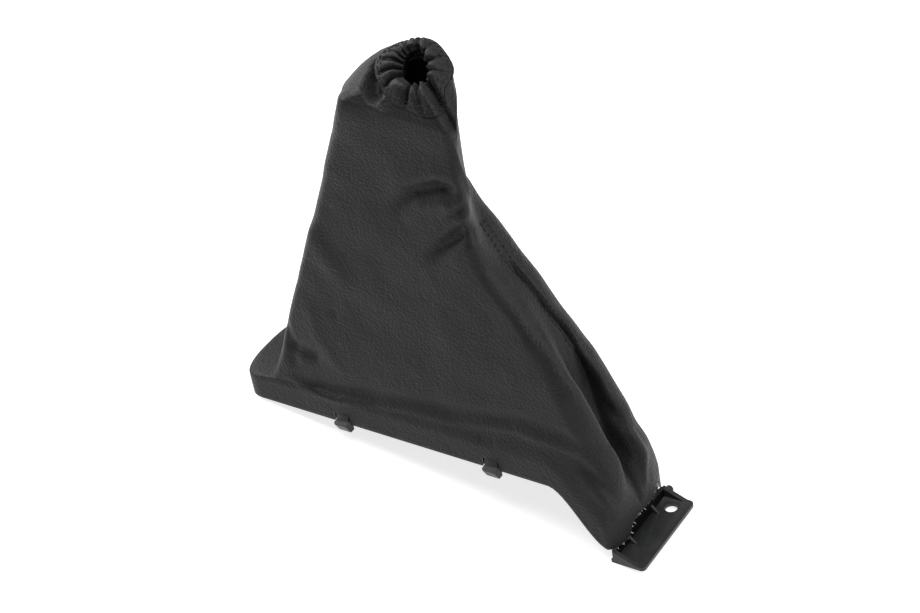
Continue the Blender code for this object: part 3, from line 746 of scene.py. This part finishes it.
def closedGrid(name, outer, inner, edgeMaterial, paintedShadeAbove=0.0):
    # two skins joined along both ends: the outer rows, then the inner rows back again
    count = outer.shape[1]
    rows = np.concatenate((outer, inner[::-1]))
    total = len(rows)
    points = placed(rows.reshape(-1, 3))
    index = np.arange(total * count).reshape(total, count)
    following = np.roll(index, -1, axis=1)
    above = np.roll(index, -1, axis=0)
    aboveFollowing = np.roll(following, -1, axis=0)
    faces = np.stack((index, following, aboveFollowing, above), axis=-1)
    mesh = bpy.data.meshes.new(name)
    mesh.from_pydata(points.tolist(), [], faces.reshape(-1, 4).tolist())
    mesh.materials.append(leatherMaterial)
    mesh.materials.append(backingMaterial)
    slots = np.zeros((total, count), np.int32)
    # inner faces above the given height take the dark leather as painted shade for the unlit inside, and below it the
    # pale backing
    slots[len(outer) - 1:] = np.where(rows[len(outer) - 1:, :, 2] > paintedShadeAbove, 0, 1)
    slots[total - 1] = edgeMaterial
    mesh.polygons.foreach_set("material_index", slots.reshape(-1))
    mesh.polygons.foreach_set("use_smooth", np.ones(total * count, bool))
    mesh.update()
    print(name + ":", len(mesh.polygons) * 2, "triangles")
    return linkedObject(name, mesh)


def buildSleeve():
    grid = sweepLevels(sleeveLevels(), sleeve["rowSpacing"])
    grid = pressFolds(grid)
    normals = softNormals(grid)
    start, fade = sleeve["freeStart"]
    free = smooth((grid[..., 2] - lowerEdge(grid[..., 0]) - start) / fade)
    swell = sum(waver(grid, *values) for values in sleeve["swells"])
    grid = pushed(grid + normals * (swell * free)[..., None])
    picked = list(range(0, len(grid), sleeve["innerStep"]))
    if picked[-1] != len(grid) - 1:
        picked.append(len(grid) - 1)
    inner = innerSkin(grid, sleeve["thickness"])[picked]
    return closedGrid("sleeve_skin", grid, inner, 1, sleeve["paintedShadeAbove"]), grid


sleeveSkin, sleeveGrid = buildSleeve()


# collar

def pleatProfile(degrees):
    # rounded lobes between narrow valleys: 0 in a valley's bottom, 1 on a lobe's crest
    places, depths = np.array(pleatValleys, float).T
    places = np.concatenate((places[-1:] - 360.0, places, places[:1] + 360.0))
    depths = np.concatenate((depths[-1:], depths, depths[:1]))
    d = np.mod(degrees, 360.0)
    k = np.clip(np.searchsorted(places, d, side="right") - 1, 0, len(places) - 2)
    wide = places[k + 1] - places[k]
    t = (d - places[k]) / wide
    spread = collar["valleyHalf"] / wide
    t = np.clip((t - spread) / (1.0 - 2.0 * spread), 0.0, 1.0)
    lobe = np.clip(4.0 * t * (1.0 - t), 0.0, 1.0) ** collar["lobePower"]
    broad = np.clip(wide / collar["fullLobe"], 0.3, 1.0)
    valley = between(depths[k], depths[k + 1], smooth(t))
    return 1.0 - valley * broad * (1.0 - lobe)


def buildCollar():
    angle = np.arange(collar["around"]) * 2.0 * math.pi / collar["around"]
    ring = ringRadius(angle)
    centreU, centreV = collar["mouthCentre"]
    rows = []
    steps = collar["rows"]
    dip, dipStart = collar["dip"]
    mouth = collar["mouthRadius"] * (1.0 + waves(angle, collar["mouthWaves"]))
    shallower, start, fade = collar["farPleats"]
    farSide = 1.0 - shallower * smooth((np.sin(angle) - start) / fade)
    growStart, growFade = collar["pleatGrow"]
    for row in range(steps + 1):
        s = row / steps
        lobes = pleatProfile(np.degrees(angle + np.radians(s * waves(angle, collar["twistWaves"]))))
        grow = smooth((s + growStart) / growFade)
        radius = between(ring + collar["outset"], mouth - collar["mouthPleat"] * (lobes - 0.5), s ** collar["spread"])
        dome = collar["rise"] * math.sin(0.5 * math.pi * min(s / collar["crown"], 1.0))
        dome *= 1.0 - dip * smooth((s - dipStart) / (1.0 - dipStart))
        lift = collar["lift"] + dome + collar["pleatDepth"] * farSide * grow * (lobes - collar["pleatLevel"])
        u = between(0.0, centreU, s) + radius * np.cos(angle)
        v = between(0.0, centreV, s) + radius * np.sin(angle)
        rows.append(collarPoint(u, v, lift))
    # the hem turns down inside the mouth
    u, v, lift = collarFlat(rows[steps])
    wider, sooner = collar["hemFlare"]
    for s in np.linspace(*collar["hemShares"]):
        flare = 1.0 + wider * smooth(s * sooner)
        rows.append(collarPoint(centreU + (u - centreU) * flare, centreV + (v - centreV) * flare,
                                lift - collar["hemDepth"] * s))
    outer = np.array(rows)
    outer[:steps + 1] = pressFolds(outer[:steps + 1], True)
    outer = pushed(outer)
    normals = gridNormals(outer)
    inner = outer - normals * collar["thickness"]
    return closedGrid("collar", outer, inner, 0), outer, normals


collarPiece, collarGrid, collarNormals = buildCollar()


# stitches and frays

def pathObject(name, paths, closed):
    # paths of points with the way out of the surface at each
    points = []
    edges = []
    outward = []
    for path, normals in paths:
        first = len(points)
        points += [tuple(p) for p in placed(path)]
        outward += [tuple(n) for n in np.asarray(normals) @ turnWorld.T]
        edges += [(first + i, first + i + 1) for i in range(len(path) - 1)]
        if closed:
            edges.append((first + len(path) - 1, first))
    mesh = bpy.data.meshes.new(name)
    mesh.from_pydata(points, edges, [])
    mesh.attributes.new("outward", "FLOAT_VECTOR", "POINT").data.foreach_set("vector", np.array(outward).reshape(-1))
    return linkedObject(name, mesh)


def openTree(name, seed):
    # evenly spaced points along each path, X along it and Z out of the surface
    tree = bpy.data.node_groups.new(name, "GeometryNodeTree")
    tree.interface.new_socket(name="Geometry", in_out="INPUT", socket_type="NodeSocketGeometry")
    for socket in ("Spacing", "Length", "Thickness"):
        tree.interface.new_socket(name=socket, in_out="INPUT", socket_type="NodeSocketFloat")
    tree.interface.new_socket(name="Seed", in_out="INPUT", socket_type="NodeSocketInt").default_value = seed
    tree.interface.new_socket(name="Geometry", in_out="OUTPUT", socket_type="NodeSocketGeometry")
    source = tree.nodes.new("NodeGroupInput")
    curve = tree.nodes.new("GeometryNodeMeshToCurve")
    resample = tree.nodes.new("GeometryNodeResampleCurve")
    resample.mode = "LENGTH"
    tangent = tree.nodes.new("GeometryNodeInputTangent")
    outward = tree.nodes.new("GeometryNodeInputNamedAttribute")
    outward.data_type = "FLOAT_VECTOR"
    outward.inputs["Name"].default_value = "outward"
    first = tree.nodes.new("FunctionNodeAlignRotationToVector")
    first.axis = "X"
    second = tree.nodes.new("FunctionNodeAlignRotationToVector")
    second.axis = "Z"
    second.pivot_axis = "X"
    joinSockets(tree, (source.outputs["Geometry"], curve.inputs["Mesh"]),
                (curve.outputs["Curve"], resample.inputs["Curve"]),
                (source.outputs["Spacing"], resample.inputs["Length"]),
                (tangent.outputs["Tangent"], first.inputs["Vector"]),
                (first.outputs["Rotation"], second.inputs["Rotation"]),
                (outward.outputs["Attribute"], second.inputs["Vector"]))
    return tree, source, resample.outputs["Curve"], second.outputs["Rotation"]


def randomVector(tree, low, high, seedOutput):
    node = tree.nodes.new("FunctionNodeRandomValue")
    node.data_type = "FLOAT_VECTOR"
    setInputs(node, {"Min": low, "Max": high})
    tree.links.new(seedOutput, node.inputs["Seed"])
    return node.outputs["Value"]


def closeTree(tree, points, instance, rotation, scale, material):
    place = tree.nodes.new("GeometryNodeInstanceOnPoints")
    real = tree.nodes.new("GeometryNodeRealizeInstances")
    smoothing = tree.nodes.new("GeometryNodeSetShadeSmooth")
    finish = tree.nodes.new("GeometryNodeSetMaterial")
    finish.inputs["Material"].default_value = material
    output = tree.nodes.new("NodeGroupOutput")
    joinSockets(tree, (points, place.inputs["Points"]), (instance, place.inputs["Instance"]),
                (rotation, place.inputs["Rotation"]), (scale, place.inputs["Scale"]),
                (place.outputs["Instances"], real.inputs["Geometry"]),
                (real.outputs["Geometry"], smoothing.inputs["Geometry"]),
                (smoothing.outputs["Geometry"], finish.inputs["Geometry"]),
                (finish.outputs["Geometry"], output.inputs[0]))
    return tree


def stitchTree(material):
    tree, source, points, rotation = openTree("stitch_row", 1)
    bead = tree.nodes.new("GeometryNodeMeshUVSphere")
    setInputs(bead, {"Segments": 8, "Rings": 6, "Radius": 0.5})
    size = tree.nodes.new("ShaderNodeCombineXYZ")
    for axis, measure in zip("XYZ", ("Length", "Thickness", "Thickness")):
        tree.links.new(source.outputs[measure], size.inputs[axis])
    jitter = tree.nodes.new("ShaderNodeVectorMath")
    jitter.operation = "MULTIPLY"
    varied = randomVector(tree, (0.85, 0.85, 0.85), (1.1, 1.1, 1.1), source.outputs["Seed"])
    joinSockets(tree, (size.outputs["Vector"], jitter.inputs[0]), (varied, jitter.inputs[1]))
    return closeTree(tree, points, bead.outputs["Mesh"], rotation, jitter.outputs["Vector"], material)


def frayTree(material):
    tree, source, points, rotation = openTree("fray_row", 5)
    hair = tree.nodes.new("GeometryNodeCurvePrimitiveBezierSegment")
    setInputs(hair, {"Resolution": 4, "Start": (0.0, 0.0, 0.0), "Start Handle": (0.1, 0.0, -0.35),
                     "End Handle": (0.0, 0.15, -0.8), "End": (0.35, 0.05, -1.0)})
    grow = tree.nodes.new("GeometryNodeTransform")
    size = tree.nodes.new("ShaderNodeCombineXYZ")
    for axis in "XYZ":
        tree.links.new(source.outputs["Length"], size.inputs[axis])
    outline = tree.nodes.new("GeometryNodeCurvePrimitiveCircle")
    outline.inputs["Resolution"].default_value = 4
    tube = tree.nodes.new("GeometryNodeCurveToMesh")
    tube.inputs["Fill Caps"].default_value = True
    turn = tree.nodes.new("FunctionNodeRotateRotation")
    turn.rotation_space = "LOCAL"
    wild = tree.nodes.new("FunctionNodeEulerToRotation")
    turned = randomVector(tree, (-0.9, -1.1, -3.1), (0.9, 1.1, 3.1), source.outputs["Seed"])
    joinSockets(tree, (hair.outputs["Curve"], grow.inputs["Geometry"]),
                (size.outputs["Vector"], grow.inputs["Scale"]),
                (source.outputs["Thickness"], outline.inputs["Radius"]),
                (grow.outputs["Geometry"], tube.inputs["Curve"]),
                (outline.outputs["Curve"], tube.inputs["Profile Curve"]),
                (rotation, turn.inputs["Rotation"]), (turned, wild.inputs["Euler"]),
                (wild.outputs["Rotation"], turn.inputs["Rotate By"]))
    sizes = randomVector(tree, (0.4, 0.4, 0.4), (1.2, 1.2, 1.2), source.outputs["Seed"])
    return closeTree(tree, points, tube.outputs["Mesh"], turn.outputs["Rotation"], sizes, material)


def grown(name, paths, tree, spacing, length, thickness, closed=False):
    # runs the node tree over the paths and keeps the result as a plain mesh
    piece = pathObject(name + "_path", paths, closed)
    modifier = piece.modifiers.new("row", "NODES")
    modifier.node_group = tree
    values = {"Spacing": spacing, "Length": length, "Thickness": thickness}
    for socket in tree.interface.items_tree:
        if socket.in_out == "INPUT" and socket.name in values:
            modifier[socket.identifier] = values[socket.name]
    graph = bpy.context.evaluated_depsgraph_get()
    mesh = bpy.data.meshes.new_from_object(piece.evaluated_get(graph), depsgraph=graph)
    mesh.name = name
    bpy.data.objects.remove(piece)
    print(name + ":", len(mesh.polygons), "faces")
    return linkedObject(name, mesh)


sleeveNormals = gridNormals(sleeveGrid)


def alongLine(line, spacing):
    steps = norm(np.diff(line, axis=0), axis=1)
    walked = np.concatenate(([0.0], np.cumsum(steps)))
    wanted = np.linspace(0.0, walked[-1], max(2, int(walked[-1] / spacing)))
    return np.column_stack([np.interp(wanted, walked, line[:, k]) for k in range(3)])


def onSleeve(line, shift=(0.0, 0.0, 0.0), lift=0.00015):
    # a broken line in millimetres, laid on the sleeve
    points = alongLine(np.array(line, float) * 0.001, 0.0012) + np.array(shift)
    skin = sleeveGrid.reshape(-1, 3)
    nearest = [np.argmin(((skin - point) ** 2).sum(axis=1)) for point in points]
    normals = sleeveNormals.reshape(-1, 3)[nearest]
    away = ((points - skin[nearest]) * normals).sum(axis=1, keepdims=True)
    return points - normals * away + normals * lift, normals


stitching = {
    "collarRows": (4, 10),
    "collarLift": 0.0002,
    "thread": (0.0031, 0.0023, 0.00062),  # spacing, length and thickness
    "seam": ((160, 3, 133), (163, 3, 122), (171, 3, 109), (178, 4, 98), (185, 5, 88), (192, 7, 76), (197, 7, 67)),
    "seamAside": 0.0021,
}
stitches = stitchTree(darkThread)
collarPaths = [(collarGrid[row] + collarNormals[row] * stitching["collarLift"], collarNormals[row])
               for row in stitching["collarRows"]]
collarStitches = grown("collar_stitches", collarPaths, stitches, *stitching["thread"], closed=True)
seamPaths = [onSleeve(stitching["seam"], (0.0, side * stitching["seamAside"], 0.0)) for side in (-1, 1)]
seamStitches = grown("seam_stitches", seamPaths, stitches, *stitching["thread"])

# white hairs of the backing, along the raw front edge
fraying = {
    "hair": (0.0008, 0.0016, 0.00016),
    "inset": 0.7,
    "normalRow": 2,
    "reach": 0.004,
}
edgeNormals = sleeveNormals[fraying["normalRow"]]
lowerRow = sleeveGrid[0] - edgeNormals * sleeve["thickness"] * fraying["inset"]
noseRow = lowerRow[lowerRow[:, 0] > sleeve["rimLength"] - fraying["reach"]]
frayPaths = [(noseRow, np.tile((0.0, 0.0, 1.0), (len(noseRow), 1)))]
frays = grown("edge_frays", frayPaths, frayTree(paleThread), *fraying["hair"])


# moulded frame: the CAD solid with its edges rounded
moulding = {
    "mergeDistance": 0.00001,
    "flatAngle": 2.0,  # degrees
    "bevel": 0.00028,
    "bevelAngle": 35.0,
    "sharpAngle": 40.0,
    "riser": (0.226, 0.0006, -0.015),  # where its front face is, how near, and its top
}


def buildFrame():
    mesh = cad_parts["frame"].data.copy()
    shape = bmesh.new()
    shape.from_mesh(mesh)
    bmesh.ops.remove_doubles(shape, verts=shape.verts, dist=moulding["mergeDistance"])
    bmesh.ops.dissolve_limit(shape, angle_limit=math.radians(moulding["flatAngle"]), verts=shape.verts,
                             edges=shape.edges)
    shape.to_mesh(mesh)
    shape.free()
    mesh.materials.clear()
    mesh.materials.append(plasticMaterial)
    mesh.materials.append(paintedShadeMaterial)
    mesh.polygons.foreach_set("use_smooth", np.ones(len(mesh.polygons), bool))
    mesh.set_sharp_from_angle(angle=math.radians(moulding["sharpAngle"]))
    place, margin, top = moulding["riser"]
    for polygon in mesh.polygons:
        # the riser under the loose front edge gets the near-black material: painted shade for the deep unlit hollow
        # there
        middle = (np.array(polygon.center) - placeWorld) @ turnWorld
        facing = np.array(polygon.normal) @ turnWorld
        if facing[0] > 0.9 and abs(middle[0] - place) < margin and middle[2] < top:
            polygon.material_index = 1
    piece = linkedObject("moulded_frame", mesh)
    bevel = piece.modifiers.new("edges", "BEVEL")
    bevel.width = moulding["bevel"]
    bevel.segments = 2
    bevel.limit_method = "ANGLE"
    bevel.angle_limit = math.radians(moulding["bevelAngle"])
    return piece


framePiece = buildFrame()
print("moulded frame:", len(framePiece.data.polygons), "faces before its bevel")

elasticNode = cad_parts["elastic_ring"]
elasticNode.data.materials.clear()
elasticNode.data.materials.append(elasticMaterial)


for piece in (sleeveSkin, collarPiece, framePiece, collarStitches, seamStitches, frays):
    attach(piece, "root")
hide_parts("sleeve")
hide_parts("frame")


# floor, light and camera
studio = {
    "floorSize": 6.0,
    "floorColour": (0.50, 0.50, 0.50, 1.0),
    "floorLift": 0.76,
    "skyLevel": 0.22,
    "top": ((-0.30, -0.05, 1.45), 1.1, 22.0),  # place, size and power
    "left": ((-1.30, 0.05, 0.85), 1.0, 21.0),
    "right": ((1.20, 0.20, 0.80), 1.0, 14.0),
    "aim": (0.0, 0.0, 0.08),
}
white = (1.0, 1.0, 1.0, 1.0)


def addMath(tree, operation, first):
    node = tree.nodes.new("ShaderNodeMath")
    node.operation = operation
    tree.links.new(first, node.inputs[0])
    return node.inputs[1], node.outputs[0]


def buildFloor():
    size = studio["floorSize"]
    mesh = bpy.data.meshes.new("floor")
    mesh.from_pydata([(-size, -size, 0), (size, -size, 0), (size, size, 0), (-size, size, 0)], [], [(0, 1, 2, 3)])
    material = bpy.data.materials.new("pale_floor")
    material.use_nodes = True
    tree = material.node_tree
    tree.nodes.clear()
    output = tree.nodes.new("ShaderNodeOutputMaterial")
    matt = tree.nodes.new("ShaderNodeBsdfDiffuse")
    matt.inputs["Color"].default_value = studio["floorColour"]
    # the lift is there for camera, glossy and transmission rays, and lights nothing
    path = tree.nodes.new("ShaderNodeLightPath")
    seen = path.outputs["Is Camera Ray"]
    for ray in ("Is Glossy Ray", "Is Transmission Ray"):
        other, seen = addMath(tree, "MAXIMUM", seen)
        tree.links.new(path.outputs[ray], other)
    level, strength = addMath(tree, "MULTIPLY", seen)
    level.default_value = studio["floorLift"]
    glow = tree.nodes.new("ShaderNodeEmission")
    glow.inputs["Color"].default_value = white
    total = tree.nodes.new("ShaderNodeAddShader")
    joinSockets(tree, (strength, glow.inputs["Strength"]), (matt.outputs[0], total.inputs[0]),
                (glow.outputs[0], total.inputs[1]), (total.outputs[0], output.inputs["Surface"]))
    mesh.materials.append(material)
    linkedObject("floor", mesh)


def buildWorld():
    world = bpy.data.worlds.new("studio")
    world.use_nodes = True
    tree = world.node_tree
    tree.nodes.clear()
    output = tree.nodes.new("ShaderNodeOutputWorld")
    background = tree.nodes.new("ShaderNodeBackground")
    setInputs(background, {"Color": white, "Strength": studio["skyLevel"]})
    tree.links.new(background.outputs[0], output.inputs["Surface"])
    bpy.context.scene.world = world


def aimed(piece, place, target):
    piece.location = place
    piece.rotation_euler = (Vector(target) - Vector(place)).to_track_quat("-Z", "Y").to_euler()


def softBox(name, place, size, power):
    data = bpy.data.lights.new(name, "AREA")
    data.shape = "SQUARE"
    data.size = size
    data.energy = power
    aimed(linkedObject(name, data), place, studio["aim"])


view = {
    "eye": (0.43640, -0.69090, 0.83726),
    "target": (-0.00087, 0.0, 0.09948),
    "lens": 87.05,
    "sensor": 36.0,
    "clipStart": 0.01,
}


def buildCamera():
    data = bpy.data.cameras.new("camera")
    data.sensor_fit = "HORIZONTAL"
    data.sensor_width = view["sensor"]
    data.lens = view["lens"]
    data.clip_start = view["clipStart"]
    camera = linkedObject("camera", data)
    aimed(camera, view["eye"], view["target"])
    bpy.context.scene.camera = camera


buildFloor()
buildWorld()
for side in ("top", "left", "right"):
    softBox(side + "_light", *studio[side])
buildCamera()
bpy.context.scene.view_settings.view_transform = "Standard"
print("studio set")
